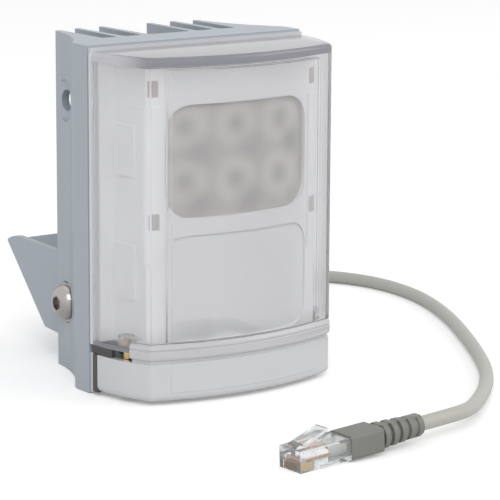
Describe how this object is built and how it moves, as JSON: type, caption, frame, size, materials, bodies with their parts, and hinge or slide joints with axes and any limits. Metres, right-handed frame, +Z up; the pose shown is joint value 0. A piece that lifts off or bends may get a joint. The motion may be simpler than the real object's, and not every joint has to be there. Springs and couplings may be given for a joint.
{
  "type": "white light illuminator",
  "caption": "Upright lamp with a bowed clear front over a frosted window, a finned metal back, a tilting U bracket on side screws, and a flying network lead with a booted plug.",
  "frame": {"origin": "bottom centre of the lamp's own box, measured with the bracket as it stands and without the free lead and its plug", "axes": "+Z up from the base; -Y is the way the light shines; +X to the right for someone who faces the front"},
  "size_m": [0.2146, 0.2698, 0.135],
  "materials": {
    "housing": "satin powder coat",
    "clear_moulding": "clear polished",
    "milky_moulding": "milky, polished",
    "carrier": "fine matte",
    "frosted": "frosted",
    "dark_rubber": "matte",
    "thermal_sheet": "matte",
    "spreader": "milled",
    "white_board": "solder mask",
    "green_board": "solder mask",
    "optic": "clear moulded",
    "emitter": "phosphor",
    "steel": "turned stainless",
    "bracket": "satin powder coat",
    "brass": "turned",
    "ferrite": "matte",
    "winding": "taped",
    "component": "sleeved",
    "terminal": "moulded",
    "wire": "insulated",
    "gland": "nickel plated",
    "lead": "smooth jacket",
    "boot": "moulded",
    "plug": "clear moulded",
    "contact": "gold plated"
  },
  "bodies": {
    "housing": {"housing_extrusion": "housing", "front_cover": "clear_moulding", "lens_insert": "clear_moulding", "retaining_strip": "clear_moulding", "lower_panel": "milky_moulding", "bezel": "carrier", "window_diffuser": "frosted", "cover_gasket": "dark_rubber", "panel_seal": "dark_rubber", "gland_seal": "dark_rubber", "thermal_pad": "thermal_sheet", "heat_spreader": "spreader", "light_board": "white_board", "driver_board": "green_board", "lens_optic_1": "optic", "lens_optic_2": "optic", "lens_optic_3": "optic", "lens_optic_4": "optic", "lens_optic_5": "optic", "lens_optic_6": "optic", "light_emitters": "emitter", "light_board_screws": "steel", "driver_board_screws": "steel", "cover_screws": "steel", "panel_screws": "steel", "pivot_screws": "steel", "pivot_washers": "steel", "driver_standoffs": "brass", "cover_inserts": "brass", "panel_inserts": "brass", "transformer_core": "ferrite", "network_isolator": "ferrite", "transformer_winding": "winding", "capacitors": "component", "terminal_block": "terminal", "lead_cores": "wire", "light_wires": "wire", "plug_cores": "wire", "gland_body": "gland", "gland_cap": "gland", "lead_end": "lead", "lead_cable": "lead", "plug_jacket": "lead", "plug_boot": "boot", "plug_body": "plug", "plug_contacts": "contact"},
    "bracket": {"u_bracket": "bracket", "pivot_nuts": "steel"}
  },
  "joints": [
    {"name": "bracket_tilt", "type": "hinge", "parent": "housing", "child": "bracket", "pos_m": [0, 0.01092, 0.0275], "axis": [1, 0, 0], "range_deg": [-29, 58]}
  ]
}
